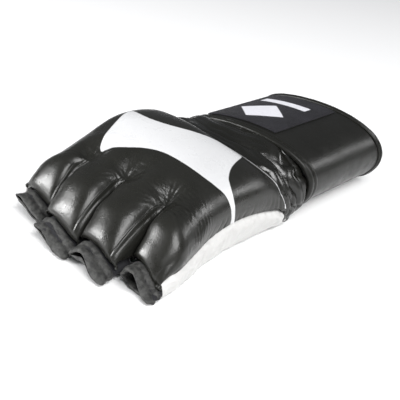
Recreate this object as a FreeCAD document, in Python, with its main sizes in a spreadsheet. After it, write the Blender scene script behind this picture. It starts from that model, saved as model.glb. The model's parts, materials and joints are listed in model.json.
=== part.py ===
"""A right-hand grappling glove, lying palm down.

Frame: +Z up, +X towards the thumb side, -Y towards the fingertips, +Y towards the wrist.
The origin is on the resting plane, under the middle of the glove. All sizes are millimetres.

The back of the hand is a foam pad under a leather cover.  Four padded finger sections hang on it
at the knuckles, each with a short open loop for the finger.  A gaiter joins the hand to a wide
wrist strap, whose outer end is a tab that peels up from a hook-and-loop patch.
"""
import math
import os

import FreeCAD
import Part
import Sketcher

Vector = FreeCAD.Vector

# ---------------------------------------------------------------- driving dimensions
SIZES = {
    # finger sections
    "finger_pitch": 29.4,
    "finger_gap": 0.8,
    "loop_height": 14.2,
    "loop_radius": 6.0,
    "loop_wall": 2.6,
    "binding_width": 9.4,
    "binding_wall": 1.15,
    "skin": 1.4,
    "fit_gap": 0.3,
    # knuckle hinge line and the round joint faces about it
    "knuckle_back": 67.0,
    "knuckle_rise": 24.0,
    "knuckle_radius": 20.0,
    "knuckle_clearance": 0.6,
    "relief_top_angle": 105.0,
    "relief_bottom_angle": 215.0,
    # hand section
    "thumb_side": 48.5,
    "pinky_side": 54.0,
    "seam_rise": 16.5,
    "cavity_roof": 27.0,
    "foam_side": 4.0,
    "hand_back": -2.4,
    "palm_front": -64.0,
    "palm_thickness": 2.0,
    "gusset_width": 6.0,
    "gusset_radius": 9.0,
    "thumb_hole_width": 28.0,
    "thumb_hole_length": 36.0,
    "thumb_hole_radius": 13.0,
    "thumb_hole_side": 22.0,
    "thumb_hole_back": -26.0,
    "thumb_binding_width": 3.6,
    "thumb_binding_height": 2.6,
    # wrist
    "cuff_width": 93.8,
    "cuff_rise": 3.1,
    "cuff_height": 37.0,
    "cuff_radius": 14.0,
    "cuff_wall": 1.8,
    "gaiter_start": -2.0,
    "gaiter_length": 43.6,
    "cuff_start": 41.9,
    "cuff_length": 66.0,
    "strap_width": 100.0,
    "strap_height": 43.2,
    "strap_radius": 16.0,
    "strap_wall": 2.8,
    "strap_front": 35.0,
    "strap_length": 94.0,
    "strap_lean": 18.0,
    "edge_width": 6.5,
    "edge_wall": 2.6,
    "edge_proud": 0.8,
    # closure tab
    "tab_root": 20.0,
    "tab_end": -33.0,
    "tab_front": 28.0,
    "tab_back": 108.0,
    "tab_rise": 45.5,
    "tab_thickness": 2.4,
    "tab_edge": 6.4,
    "patch_margin": 4.0,
    "patch_thickness": 0.9,
    "label_thickness": 1.0,
}

# Each finger: its place counted from the thumb side, the reach of its loop in front of the
# origin, and the heights of its pad over the finger and over the knuckle.
FINGERS = {
    "index": (0, 121.5, 36.0, 41.0),
    "middle": (1, 129.0, 40.0, 48.0),
    "ring": (2, 126.0, 40.0, 48.0),
    "pinky": (3, 114.0, 37.0, 45.0),
}

SHEET = "Sizes"
SWEEP = 70.0  # half-length of a prism that has to pass right through the glove


# ---------------------------------------------------------------- document helpers
def make_sheet(doc):
    """Write every driving dimension to a spreadsheet cell with an alias."""
    sheet = doc.addObject("Spreadsheet::Sheet", SHEET)
    for row, (alias, value) in enumerate(SIZES.items(), start=1):
        sheet.set(f"A{row}", alias)
        sheet.set(f"B{row}", str(value))
        sheet.setAlias(f"B{row}", alias)
    doc.recompute()
    return sheet


def cell(alias):
    """The expression that names one cell of the sheet."""
    return f"{SHEET}.{alias}"


def bind(obj, **expressions):
    """Bind properties of an object to expressions."""
    for prop, expression in expressions.items():
        obj.setExpression(prop.replace("__", "."), expression)


def origin_plane(body, role):
    """One of the body's own origin planes."""
    return next(f for f in body.Origin.OriginFeatures if f.Role == role)


def rounded_rectangle(sketch, prefix, left, right, bottom, top, radius):
    """Draw a rounded rectangle whose corner centres and radius follow expressions."""
    inner_right = f"({right}) - ({radius})"
    inner_top = f"({top}) - ({radius})"
    inner_left = f"({left}) + ({radius})"
    inner_bottom = f"({bottom}) + ({radius})"
    east, north, west, south, bend = (
        float(sketch.evalExpression(text))
        for text in (inner_right, inner_top, inner_left, inner_bottom, radius))
    corners = ((east, north, 0), (west, north, 90), (west, south, 180), (east, south, 270))
    first = sketch.GeometryCount
    for across, along, start in corners:
        circle = Part.Circle(Vector(across, along, 0), Vector(0, 0, 1), bend)
        sketch.addGeometry(Part.ArcOfCircle(circle, math.radians(start), math.radians(start + 90)))
    for index in range(4):
        begin = sketch.getPoint(first + index, 2)
        finish = sketch.getPoint(first + (index + 1) % 4, 1)
        sketch.addGeometry(Part.LineSegment(begin, finish))
    for index in range(4):
        line = first + 4 + index
        sketch.addConstraint(Sketcher.Constraint("Tangent", first + index, 2, line, 1))
        sketch.addConstraint(Sketcher.Constraint("Tangent", line, 2, first + (index + 1) % 4, 1))
        direction = "Horizontal" if index % 2 == 0 else "Vertical"
        sketch.addConstraint(Sketcher.Constraint(direction, line))
    for index in range(1, 3):
        sketch.addConstraint(Sketcher.Constraint("Equal", first, first + index))
    places = (
        ("Radius", "radius", (first,), bend, radius),
        ("DistanceX", "right", (-1, 1, first, 3), east, inner_right),
        ("DistanceY", "top", (-1, 1, first, 3), north, inner_top),
        ("DistanceX", "left", (-1, 1, first + 2, 3), west, inner_left),
        ("DistanceY", "bottom", (-1, 1, first + 2, 3), south, inner_bottom),
    )
    for kind, name, elements, value, expression in places:
        index = sketch.addConstraint(Sketcher.Constraint(kind, *elements, value))
        sketch.renameConstraint(index, f"{prefix}_{name}")
        sketch.setExpression(f"Constraints.{prefix}_{name}", expression)


def ring_pad(body, name, start, length, outline, wall, lean=None):
    """Pad a rounded tube wall along +Y inside a body.  outline: left, right, bottom, top, radius."""
    left, right, bottom, top, radius = outline
    sketch = body.newObject("Sketcher::SketchObject", f"{name}_profile")
    sketch.AttachmentSupport = (origin_plane(body, "XZ_Plane"), [""])
    sketch.MapMode = "FlatFace"
    bind(sketch, AttachmentOffset__Base__z=f"-({start})")
    if lean:
        sketch.AttachmentOffset = FreeCAD.Placement(Vector(), FreeCAD.Rotation(Vector(1, 0, 0), 1))
        bind(sketch, AttachmentOffset__Rotation__Angle=lean)
    rounded_rectangle(sketch, "outer", left, right, bottom, top, radius)
    inset = (f"({left}) + ({wall})", f"({right}) - ({wall})", f"({bottom}) + ({wall})",
             f"({top}) - ({wall})", f"({radius}) - ({wall})")
    rounded_rectangle(sketch, "inner", *inset)
    pad = body.newObject("PartDesign::Pad", f"{name}_pad")
    pad.Profile = sketch
    pad.UseCustomVector = True
    pad.Direction = Vector(0, 1, 0)
    pad.AlongSketchNormal = False
    pad.ReferenceAxis = None
    bind(pad, Length=length)
    sketch.Visibility = False
    return pad


def ring_body(doc, name, start, length, outline, wall, lean=None):
    """A rounded tube along Y as a body of its own."""
    body = doc.addObject("PartDesign::Body", name)
    body.Label = name
    ring_pad(body, name, start, length, outline, wall, lean)
    return body


def box(doc, name, low, high):
    """A box between two corners given as expressions."""
    block = doc.addObject("Part::Box", name)
    block.Label = name
    bind(block, Length=f"({high[0]}) - ({low[0]})", Width=f"({high[1]}) - ({low[1]})",
         Height=f"({high[2]}) - ({low[2]})", Placement__Base__x=low[0],
         Placement__Base__y=low[1], Placement__Base__z=low[2])
    return block


def boolean(doc, kind, name, base, tool):
    """A Part::Cut or Part::Common of two objects."""
    result = doc.addObject(kind, name)
    result.Base = base
    result.Tool = tool
    result.Label = name
    return result


def solid(doc, name, shape):
    """A feature that holds a shape built from the sheet's sizes."""
    feature = doc.addObject("Part::Feature", name)
    feature.Shape = shape
    feature.Placement = FreeCAD.Placement()
    feature.Label = name
    return feature


# ---------------------------------------------------------------- outlines and prisms
def rounded_outline(corners):
    """A closed wire through corners (a, b, radius) in the XY plane, each corner an arc."""
    count = len(corners)
    points = [Vector(a, b, 0) for a, b, _ in corners]
    edges = []
    joins = []
    for index, (_, _, radius) in enumerate(corners):
        here = points[index]
        back = (points[index - 1] - here).normalize()
        ahead = (points[(index + 1) % count] - here).normalize()
        if radius == 0:
            joins.append((here, here, None))
            continue
        half_angle = back.getAngle(ahead) / 2
        tangent = radius / math.tan(half_angle)
        bisector = (back + ahead).normalize()
        middle = here + bisector * (radius / math.sin(half_angle) - radius)
        joins.append((here + back * tangent, here + ahead * tangent, middle))
    for index, (begin, finish, middle) in enumerate(joins):
        if middle is not None:
            edges.append(Part.Arc(begin, middle, finish).toShape())
        edges.append(Part.LineSegment(finish, joins[(index + 1) % count][0]).toShape())
    return Part.Wire(edges)


def prism(wire, inset, plane, start, length):
    """Extrude an outline, shrunk by inset.  plane XZ runs along +Y, plane YZ along +X."""
    outline = wire.makeOffset2D(-inset) if inset else wire
    shape = Part.Face(outline)
    shape.rotate(Vector(), Vector(1, 0, 0), 90)
    direction = Vector(0, length, 0)
    if plane == "YZ":
        shape.rotate(Vector(), Vector(0, 0, 1), 90)
        direction = Vector(length, 0, 0)
    shape.translate(direction.normalize() * start)
    return shape.extrude(direction * length)


def crowned(front, side, inset, floor):
    """The solid under both a front outline and a side outline, shrunk by inset, above floor."""
    arch = prism(front, inset, "XZ", -2 * SWEEP, 3 * SWEEP)
    profile = prism(side, inset, "YZ", -SWEEP, 2 * SWEEP)
    below = Part.makeBox(3 * SWEEP, 4 * SWEEP, SWEEP, Vector(-SWEEP * 1.5, -2 * SWEEP, floor - SWEEP))
    return arch.common(profile).cut(below)


# ---------------------------------------------------------------- tools for the knuckle line
def knuckle_relief(doc):
    """What is cut from every finger solid: the round joint face and the room it needs to swing."""
    hub = doc.addObject("Part::Cylinder", "relief_hub")
    hub.Placement = FreeCAD.Placement(Vector(), FreeCAD.Rotation(Vector(0, 1, 0), 90))
    bind(hub, Radius=f"{cell('knuckle_radius')} + {cell('knuckle_clearance')}",
         Placement__Base__y=f"-{cell('knuckle_back')}", Placement__Base__z=cell("knuckle_rise"))
    hub.Height = 2 * SWEEP
    hub.Placement.Base.x = -SWEEP
    blocks = [hub]
    for name, angle in (("relief_top", "relief_top_angle"), ("relief_bottom", "relief_bottom_angle")):
        block = doc.addObject("Part::Box", name)
        block.Length = 2 * SWEEP
        block.Width = SWEEP
        block.Height = SWEEP
        block.Placement = FreeCAD.Placement(Vector(-SWEEP, 0, 0), FreeCAD.Rotation(Vector(1, 0, 0), 1))
        offset = "90" if name == "relief_top" else "0"
        bind(block, Placement__Base__y=f"-{cell('knuckle_back')}",
             Placement__Base__z=cell("knuckle_rise"),
             Placement__Rotation__Angle=f"{cell(angle)} - {offset}")
        blocks.append(block)
    fuse = doc.addObject("Part::MultiFuse", "knuckle_relief")
    fuse.Shapes = blocks
    return fuse


def knuckle_front(doc):
    """What is cut from every hand solid: all that lies in front of the round knuckle face."""
    block = box(doc, "front_block", ("-100", "-200", "-20"),
                ("100", f"-{cell('knuckle_back')}", "100"))
    hub = doc.addObject("Part::Cylinder", "front_hub")
    hub.Placement = FreeCAD.Placement(Vector(-100, 0, 0), FreeCAD.Rotation(Vector(0, 1, 0), 90))
    hub.Height = 200
    bind(hub, Radius=cell("knuckle_radius"), Placement__Base__y=f"-{cell('knuckle_back')}",
         Placement__Base__z=cell("knuckle_rise"))
    return boolean(doc, "Part::Cut", "knuckle_front", block, hub)


# ---------------------------------------------------------------- finger sections
def finger_section(doc, sheet, name, place, reach, finger_rise, knuckle_rise, relief):
    """The loop sleeve, its binding, the foam pad and the leather cover of one finger."""
    centre = f"(1.5 - {place}) * {cell('finger_pitch')}"
    half = f"({cell('finger_pitch')} - {cell('finger_gap')}) / 2"
    left = f"{centre} - {half}"
    right = f"{centre} + {half}"
    wall = cell("binding_wall")
    slack = f"({cell('fit_gap')} / 2)"
    rise = "0.2"

    sleeve = doc.addObject("PartDesign::Body", f"{name}_sleeve_body")
    outline = (left, right, "0", cell("loop_height"), cell("loop_radius"))
    step = f"{cell('binding_width')} + {slack}"
    ring_pad(sleeve, f"{name}_loop", f"{step} - {reach}", f"{reach} - {cell('knuckle_back')} - ({step})",
             outline, cell("loop_wall"))
    inset = f"({wall} + {slack})"
    nose = (f"{left} + {inset}", f"{right} - {inset}", f"{rise} + {inset}",
            f"{cell('loop_height')} - {inset}", f"{cell('loop_radius')} - {inset}")
    ring_pad(sleeve, f"{name}_nose", f"-{reach}", f"{step} + 0.1", nose,
             f"{cell('loop_wall')} - {inset}")
    boolean(doc, "Part::Cut", f"{name}_sleeve", sleeve, relief)

    edge = (left, right, rise, cell("loop_height"), cell("loop_radius"))
    binding = ring_body(doc, f"{name}_binding", f"-{reach}", cell("binding_width"), edge, wall)

    middle = (1.5 - place) * sheet.finger_pitch
    side = (sheet.finger_pitch - sheet.finger_gap) / 2
    base = sheet.loop_height + sheet.fit_gap
    toe = -reach + sheet.binding_width + 0.6
    front = rounded_outline([
        (middle - side, base - 10, 0),
        (middle - side, knuckle_rise + 1, 11),
        (middle + side, knuckle_rise + 1, 11),
        (middle + side, base - 10, 0),
    ])
    profile = rounded_outline([
        (toe, base - 10, 0),
        (toe, 0.7 * finger_rise, 7),
        (-88, finger_rise, 30),
        (-66, knuckle_rise, 0),
        (-66, base - 10, 0),
    ])
    outer = crowned(front, profile, 0, base)
    inner = crowned(front, profile, sheet.skin, base - 1)
    core = crowned(front, profile, sheet.skin + sheet.fit_gap, base)
    cover = solid(doc, f"{name}_cover_blank", outer.cut(inner))
    foam = solid(doc, f"{name}_foam_blank", core)
    boolean(doc, "Part::Cut", f"{name}_cover", cover, relief)
    boolean(doc, "Part::Cut", f"{name}_foam", foam, relief)
    return [f"{name}_{part}" for part in ("sleeve", "binding", "foam", "cover")]


# ---------------------------------------------------------------- hand section
def back_pad(doc, sheet, front_tool):
    """The knuckle pad: leather cover, foam block and the lining under it."""
    near = sheet.thumb_side
    far = -sheet.pinky_side
    base = sheet.seam_rise + sheet.fit_gap
    arch = rounded_outline([
        (far, base - 10, 0),
        (far - 1, 50, 11),
        (-8, 56, 60),
        (near, 38, 12),
        (near, base - 10, 0),
    ])
    profile = rounded_outline([
        (-92, base - 10, 0),
        (-92, 37, 4),
        (-66, 48.5, 40),
        (-40, 57, 40),
        (-14, 54, 30),
        (-4, 49.5, 5),
        (-3, base - 10, 0),
    ])
    roof = sheet.cavity_roof
    cavity = rounded_outline([
        (far + sheet.foam_side + 2, -20, 0),
        (far + sheet.foam_side + 2, roof, 10),
        (near - sheet.foam_side - 2, roof, 10),
        (near - sheet.foam_side - 2, -20, 0),
    ])
    hollow = prism(cavity, 0, "XZ", -2 * SWEEP, 3 * SWEEP)
    lining_outer = prism(cavity, sheet.fit_gap, "XZ", -90, 90 - 5)
    lining_inner = prism(cavity, sheet.fit_gap + 1, "XZ", -100, 110)
    below = Part.makeBox(200, 300, 60, Vector(-100, -200, base - 60))

    cover = crowned(arch, profile, 0, base).cut(crowned(arch, profile, sheet.skin, base - 1))
    foam = crowned(arch, profile, sheet.skin + sheet.fit_gap, base).cut(hollow)
    lining = lining_outer.cut(lining_inner).cut(below)
    names = []
    for name, shape in (("knuckle_cover", cover), ("knuckle_foam", foam), ("dorsal_lining", lining)):
        blank = solid(doc, f"{name}_blank", shape)
        boolean(doc, "Part::Cut", name, blank, front_tool)
        names.append(name)
    return names


def palm_panel(doc):
    """The flat leather palm with its oval thumb opening."""
    body = doc.addObject("PartDesign::Body", "palm_panel")
    body.Label = "palm_panel"
    sketch = body.newObject("Sketcher::SketchObject", "palm_outline")
    sketch.AttachmentSupport = (origin_plane(body, "XY_Plane"), [""])
    sketch.MapMode = "FlatFace"
    margin = f"{cell('gusset_width')} + {cell('fit_gap')}"
    rounded_rectangle(sketch, "panel", f"{margin} - {cell('pinky_side')}",
                      f"{cell('thumb_side')} - ({margin})", cell("palm_front"),
                      cell("hand_back"), "6")
    rounded_rectangle(sketch, "opening", *thumb_hole("0"))
    pad = body.newObject("PartDesign::Pad", "palm_pad")
    pad.Profile = sketch
    bind(pad, Length=cell("palm_thickness"))
    return ["palm_panel"]


def thumb_hole(inset):
    """The thumb opening's outline, shrunk by inset, as rounded_rectangle's arguments."""
    half_width = f"({cell('thumb_hole_width')} / 2 - ({inset}))"
    half_length = f"({cell('thumb_hole_length')} / 2 - ({inset}))"
    side = cell("thumb_hole_side")
    back = cell("thumb_hole_back")
    return (f"{side} - {half_width}", f"{side} + {half_width}", f"{back} - {half_length}",
            f"{back} + {half_length}", f"{cell('thumb_hole_radius')} - ({inset})")


def thumb_binding(doc):
    """The bound edge inside the thumb opening."""
    body = doc.addObject("PartDesign::Body", "thumb_binding")
    body.Label = "thumb_binding"
    sketch = body.newObject("Sketcher::SketchObject", "thumb_binding_outline")
    sketch.AttachmentSupport = (origin_plane(body, "XY_Plane"), [""])
    sketch.MapMode = "FlatFace"
    bind(sketch, AttachmentOffset__Base__z=cell("fit_gap"))
    rounded_rectangle(sketch, "outer", *thumb_hole(cell("fit_gap")))
    rounded_rectangle(sketch, "inner", *thumb_hole(cell("thumb_binding_width")))
    pad = body.newObject("PartDesign::Pad", "thumb_binding_pad")
    pad.Profile = sketch
    bind(pad, Length=cell("thumb_binding_height"))
    return ["thumb_binding"]


def gussets(doc, front_tool):
    """The two side walls that join the palm to the back of the hand."""
    start = -90
    outline = (f"-{cell('pinky_side')}", cell("thumb_side"), "0", f"2 * {cell('seam_rise')}",
               cell("gusset_radius"))
    ring = ring_body(doc, "gusset_ring", str(start), f"{cell('hand_back')} - ({start})", outline, "2")
    trimmed = boolean(doc, "Part::Cut", "gusset_blank", ring, front_tool)
    sides = {
        "thumb_gusset": (f"{cell('thumb_side')} - {cell('gusset_width')}", "100"),
        "pinky_gusset": ("-100", f"{cell('gusset_width')} - {cell('pinky_side')}"),
    }
    for name, (low, high) in sides.items():
        window = box(doc, f"{name}_window", (low, "-200", "-5"), (high, "100", cell("seam_rise")))
        boolean(doc, "Part::Common", name, trimmed, window)
    return list(sides)


# ---------------------------------------------------------------- wrist
def wrist(doc):
    """The gaiter, the inner cuff, the strap around it and the strap's bound edges."""
    half = f"{cell('cuff_width')} / 2"
    tube = (f"-{half}", half, cell("cuff_rise"), f"{cell('cuff_rise')} + {cell('cuff_height')}",
            cell("cuff_radius"))
    ring_body(doc, "throat_gaiter", cell("gaiter_start"), cell("gaiter_length"), tube, cell("cuff_wall"))
    ring_body(doc, "cuff_sleeve", cell("cuff_start"), cell("cuff_length"), tube, cell("cuff_wall"))

    lean = cell("strap_lean")
    slope = f"cos({cell('strap_lean')} * 1 deg)"
    half = f"{cell('strap_width')} / 2"
    gap = "0.2"
    band = (f"-{half}", half, "0", f"{cell('strap_height')} / {slope}", cell("strap_radius"))
    ring_body(doc, "wrist_strap", f"{cell('strap_front')} + {cell('edge_width')} + {gap}",
              f"{cell('strap_length')} - 2 * ({cell('edge_width')} + {gap})", band,
              cell("strap_wall"), lean)
    proud = cell("edge_proud")
    edge = (f"-{half} - {proud}", f"{half} + {proud}", "0.3",
            f"({cell('strap_height')} + {proud}) / {slope}", f"{cell('strap_radius')} + {proud}")
    starts = {
        "strap_front_binding": cell("strap_front"),
        "strap_rear_binding": f"{cell('strap_front')} + {cell('strap_length')} - {cell('edge_width')}",
    }
    for name, start in starts.items():
        ring_body(doc, name, start, cell("edge_width"), edge, cell("edge_wall"), lean)
    return ["throat_gaiter", "cuff_sleeve", "wrist_strap"] + list(starts)


def closure(doc):
    """The loop patch on the strap and the tab that closes on it."""
    margin = cell("patch_margin")
    patch_left = f"{cell('tab_end')} + {margin}"
    patch_right = f"{cell('tab_root')} - 2 * {margin}"
    patch_front = f"{cell('tab_front')} + {margin} + 1"
    patch_back = f"{cell('tab_back')} - {margin} - 1"
    loop_rise = f"{cell('strap_height')} + 0.2"
    box(doc, "loop_patch", (patch_left, patch_front, loop_rise),
        (patch_right, patch_back, f"{loop_rise} + {cell('patch_thickness')}"))
    hook_top = f"{cell('tab_rise')} - 0.2"
    box(doc, "hook_patch", (patch_left, patch_front, f"{hook_top} - {cell('patch_thickness')}"),
        (patch_right, patch_back, hook_top))

    thickness = cell("tab_thickness")
    slab = box(doc, "tab_slab", (cell("tab_end"), cell("tab_front"), cell("tab_rise")),
               (cell("tab_root"), cell("tab_back"), f"{cell('tab_rise')} + {thickness}"))
    root = doc.addObject("Part::Cylinder", "tab_root_roll")
    root.Placement = FreeCAD.Placement(Vector(), FreeCAD.Rotation(Vector(1, 0, 0), -90))
    bind(root, Radius=f"{thickness} / 2", Height=f"{cell('tab_back')} - {cell('tab_front')}",
         Placement__Base__x=cell("tab_root"), Placement__Base__y=cell("tab_front"),
         Placement__Base__z=f"{cell('tab_rise')} + {thickness} / 2")
    tab = doc.addObject("Part::MultiFuse", "strap_tab")
    tab.Shapes = [slab, root]
    tab.Label = "strap_tab"

    edge = cell("tab_edge")
    low = f"{cell('tab_rise')} - 0.3"
    high = f"{cell('tab_rise')} + {thickness} + 0.4"
    frame = box(doc, "tab_frame", (f"{cell('tab_end')} - {edge}", f"{cell('tab_front')} - {edge}", low),
                (cell("tab_root"), f"{cell('tab_back')} + {edge}", high))
    hole = box(doc, "tab_frame_hole", (f"{cell('tab_end')} - 0.2", f"{cell('tab_front')} - 0.2", "0"),
               ("100", f"{cell('tab_back')} + 0.2", "100"))
    boolean(doc, "Part::Cut", "tab_binding", frame, hole)

    label_rise = f"{cell('tab_rise')} + {thickness} + 0.2"
    box(doc, "label_patch", (f"{cell('tab_end')} + 2", f"{cell('tab_front')} + 2", label_rise),
        (f"{cell('tab_root')} - 5", f"{cell('tab_back')} - 2",
         f"{label_rise} + {cell('label_thickness')}"))
    return ["loop_patch", "hook_patch", "strap_tab", "tab_binding", "label_patch"]


# ---------------------------------------------------------------- checks and export
def check_document(doc, names):
    """Stop if an object failed or a sub-part has no valid solid."""
    for obj in doc.Objects:
        if "Invalid" in obj.State or "Error" in obj.State:
            raise RuntimeError(f"{obj.Label} failed: {obj.State}")
    for name in names:
        shape = doc.getObjectsByLabel(name)[0].Shape
        if shape.isNull() or not shape.isValid() or not shape.Solids:
            raise RuntimeError(f"{name} has no valid solid")
        size = shape.BoundBox
        print(f"{name:22s} solids {len(shape.Solids)}  volume {shape.Volume / 1000:8.2f} cm3  "
              f"x {size.XMin:7.1f} {size.XMax:7.1f}  y {size.YMin:7.1f} {size.YMax:7.1f}  "
              f"z {size.ZMin:6.2f} {size.ZMax:6.2f}")


def main():
    """Build the glove and write one STEP file for each sub-part."""
    doc = FreeCAD.newDocument("glove")
    sheet = make_sheet(doc)
    relief = knuckle_relief(doc)
    front_tool = knuckle_front(doc)
    names = []
    for finger, (place, reach, finger_rise, knuckle_rise) in FINGERS.items():
        names += finger_section(doc, sheet, finger, place, reach, finger_rise, knuckle_rise, relief)
    names += back_pad(doc, sheet, front_tool)
    names += palm_panel(doc)
    names += thumb_binding(doc)
    names += gussets(doc, front_tool)
    names += wrist(doc)
    names += closure(doc)
    doc.recompute()
    check_document(doc, names)
    os.makedirs("parts", exist_ok=True)
    for name in names:
        doc.getObjectsByLabel(name)[0].Shape.exportStep(f"parts/{name}.step")


main()
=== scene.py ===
import json
import math

import bpy
import numpy as np
from mathutils import Matrix, Vector, noise


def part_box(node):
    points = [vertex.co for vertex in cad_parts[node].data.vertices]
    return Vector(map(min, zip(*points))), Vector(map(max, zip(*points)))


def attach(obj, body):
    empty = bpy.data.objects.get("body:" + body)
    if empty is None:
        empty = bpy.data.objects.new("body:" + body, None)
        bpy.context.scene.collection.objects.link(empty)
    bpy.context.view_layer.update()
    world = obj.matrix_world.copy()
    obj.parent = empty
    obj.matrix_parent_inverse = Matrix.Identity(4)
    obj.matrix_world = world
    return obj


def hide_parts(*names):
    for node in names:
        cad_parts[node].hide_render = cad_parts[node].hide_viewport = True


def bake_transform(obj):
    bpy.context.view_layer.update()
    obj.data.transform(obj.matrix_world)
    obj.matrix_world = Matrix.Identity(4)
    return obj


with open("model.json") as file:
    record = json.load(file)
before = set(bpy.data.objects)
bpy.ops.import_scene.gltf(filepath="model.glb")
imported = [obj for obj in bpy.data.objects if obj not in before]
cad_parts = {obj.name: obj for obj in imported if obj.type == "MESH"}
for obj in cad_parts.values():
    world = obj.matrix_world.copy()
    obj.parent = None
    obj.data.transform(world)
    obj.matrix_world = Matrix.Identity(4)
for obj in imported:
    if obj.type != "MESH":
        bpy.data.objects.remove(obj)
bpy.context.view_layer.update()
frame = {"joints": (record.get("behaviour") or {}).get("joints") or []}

# A right-hand grappling glove, palm down: +X is the thumb side, -Y the fingertips, +Y the wrist.
# Shapes are worked out in millimetres and turned to metres when a mesh is made.
MM = 0.001
FINGERS = ("index", "middle", "ring", "pinky")


# ---- sizes from the frame
def node_box(node):
    """Lowest and highest corners of a CAD node, in millimetres."""
    low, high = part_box(node)
    return np.array(low) / MM, np.array(high) / MM


SLAB = {name: [corner[0] for corner in node_box(f"{name}_sleeve")] for name in FINGERS}
REACH = {name: node_box(f"{name}_binding")[0][1] for name in FINGERS}
BINDING_BACK = {name: node_box(f"{name}_binding")[1][1] for name in FINGERS}
KNUCKLE_Y = next(j for j in frame["joints"] if j["name"] == "index_flex")["pos_m"][1] / MM
SEAM_Z = node_box("thumb_gusset")[1][2]
STRAP_HIGH = node_box("wrist_strap")[1]
EDGE_FRONT = node_box("strap_front_binding")[0][1]
EDGE_BACK = node_box("strap_rear_binding")[1][1]
TAB_HIGH = node_box("strap_tab")[1]
PALM_LOW, PALM_HIGH = node_box("palm_panel")
HOLE_LOW, HOLE_HIGH = node_box("thumb_binding")
BLEND_START = (0, (KNUCKLE_Y - 13) * MM, 0)
BLEND_END = (0, (KNUCKLE_Y - 37) * MM, 0)


# ---- small maths
def ease(low, high, value):
    """0 below low, 1 above high, smooth between."""
    part = np.clip((value - low) / (high - low), 0, 1)
    return part * part * (3 - 2 * part)


def xyz(x, y, z):
    """Points from their coordinates, each a number or an array."""
    return np.stack(np.broadcast_arrays(x, y, z), axis=-1)


def unit(vectors):
    """The same directions, each with length 1."""
    return vectors / np.linalg.norm(vectors, axis=-1, keepdims=True)


def hermite(part, step, start, finish, slope_in, slope_out):
    """A cubic from start to finish with the given slopes, at part (0 to 1) of the step."""
    cube, square = part**3, part**2
    return ((2 * cube - 3 * square + 1) * start + (cube - 2 * square + part) * slope_in * step
            + (3 * square - 2 * cube) * finish + (cube - square) * slope_out * step)


def track(keys, place):
    """A smooth curve through (place, value) keys, values being numbers or arrays."""
    places = np.array([key[0] for key in keys], float)
    values = np.array([key[1] for key in keys], float)
    slopes = np.gradient(values, places, axis=0)
    place = np.clip(np.asarray(place, float), places[0], places[-1])
    index = np.clip(np.searchsorted(places, place) - 1, 0, len(places) - 2)
    extra = place.shape + (1,) * (values.ndim - 1)
    step = (places[index + 1] - places[index]).reshape(extra)
    part = (place - places[index]).reshape(extra) / step
    return hermite(part, step, values[index], values[index + 1], slopes[index], slopes[index + 1])


def grain(points, size, seed=0.0):
    """Smooth noise from -1 to 1 at each point, size in millimetres."""
    flat = np.asarray(points, float).reshape(-1, 3) / size + seed * 17.3
    values = np.array([noise.noise(Vector(p)) for p in flat])
    return values.reshape(np.asarray(points).shape[:-1])


def normals_of(points):
    """Unit normals of a grid of points."""
    across = np.gradient(points, axis=0)
    along = np.gradient(points, axis=1)
    normal = np.cross(across, along)
    return normal / np.maximum(np.linalg.norm(normal, axis=2, keepdims=True), 1e-9)


# ---- meshes
def mesh_object(name, vertices, faces):
    """A mesh object from millimetre points, with its rest place stored for the materials."""
    mesh = bpy.data.meshes.new(name)
    mesh.from_pydata([tuple(v) for v in np.asarray(vertices) * MM], [], faces)
    mesh.update()
    for polygon in mesh.polygons:
        polygon.use_smooth = True
    rest = mesh.attributes.new("rest", "FLOAT_VECTOR", "POINT")
    rest.data.foreach_set("vector", (np.asarray(vertices, float) * MM).ravel().astype(np.float32))
    obj = bpy.data.objects.new(name, mesh)
    bpy.context.scene.collection.objects.link(obj)
    return obj


def grid_faces(rows, columns, closed=False, flip=False):
    """Quads of a grid, optionally closed along the first direction."""
    faces = []
    for i in range(rows if closed else rows - 1):
        for j in range(columns - 1):
            a, b = i * columns + j, ((i + 1) % rows) * columns + j
            quad = (a, b, b + 1, a + 1)
            faces.append(quad[::-1] if flip else quad)
    return faces


def grid_object(name, points, closed=False, flip=False):
    """A mesh object from a grid of points, as grid_faces joins them."""
    rows, columns = points.shape[:2]
    return mesh_object(name, points.reshape(-1, 3), grid_faces(rows, columns, closed, flip))


def add_field(obj, name, values):
    """Store a number for each point, which a material can read."""
    field = obj.data.attributes.new(name, "FLOAT", "POINT")
    field.data.foreach_set("value", np.asarray(values, np.float32).ravel())


def bake(obj, **modifiers):
    """Apply modifiers, given as TYPE=settings, and keep the finished mesh."""
    for kind, settings in modifiers.items():
        modifier = obj.modifiers.new(kind, kind)
        for key, value in settings.items():
            setattr(modifier, key, value)
    bpy.context.view_layer.update()
    graph = bpy.context.evaluated_depsgraph_get()
    mesh = bpy.data.meshes.new_from_object(obj.evaluated_get(graph), depsgraph=graph)
    obj.modifiers.clear()
    obj.data = mesh


# Modifier settings: closing a tape where its first and last columns meet, and one subdivision.
JOINED = {"merge_threshold": 0.05 * MM}
SMOOTHED = {"levels": 1, "render_levels": 1}


def thicken(obj, thickness, offset=-1):
    """Give a surface its thickness, inwards or outwards by offset."""
    bake(obj, SOLIDIFY={"thickness": thickness * MM, "offset": offset, "use_even_offset": False})


LEATHER_CLOTH = {"quality": 5, "mass": 0.15, "tension_stiffness": 12, "compression_stiffness": 12,
                 "shear_stiffness": 6, "bending_stiffness": 4.0}
LOWEST_FOLD = 1.1
FOLD_GROWTH = 0.05


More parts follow.
